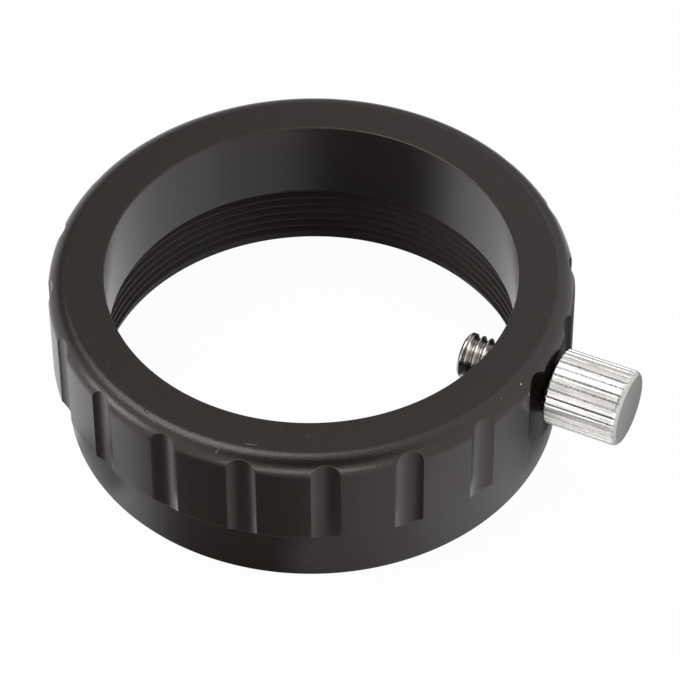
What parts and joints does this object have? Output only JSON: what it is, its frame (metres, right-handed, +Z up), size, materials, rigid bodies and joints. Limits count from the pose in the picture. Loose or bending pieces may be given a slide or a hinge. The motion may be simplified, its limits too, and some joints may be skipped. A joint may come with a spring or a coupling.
{
  "type": "telescope focuser adapter",
  "caption": "Black ring adapter with a fluted grip that screws onto a focuser thread and clamps an eyepiece barrel in its smooth socket with a knurled thumbscrew.",
  "frame": {"origin": "on the ring's axis, in the plane of the base face round the mouth of the focuser thread", "axes": "+Z up along the ring's axis towards the eyepiece, +X out along the thumbscrew, +Y by the right-hand rule"},
  "size_m": [0.0746, 0.0646, 0.0214],
  "materials": {
    "black_anodised": "black anodised, satin",
    "bright_steel": "turned and knurled, bright"
  },
  "bodies": {
    "ring": {"adapter_ring": "black_anodised"},
    "screw": {"thumbscrew": "bright_steel"}
  },
  "joints": [
    {"name": "thumbscrew_travel", "type": "slide", "parent": "ring", "child": "screw", "axis": [1, 0, 0], "range_m": [-0.0005, 0.0085]}
  ]
}
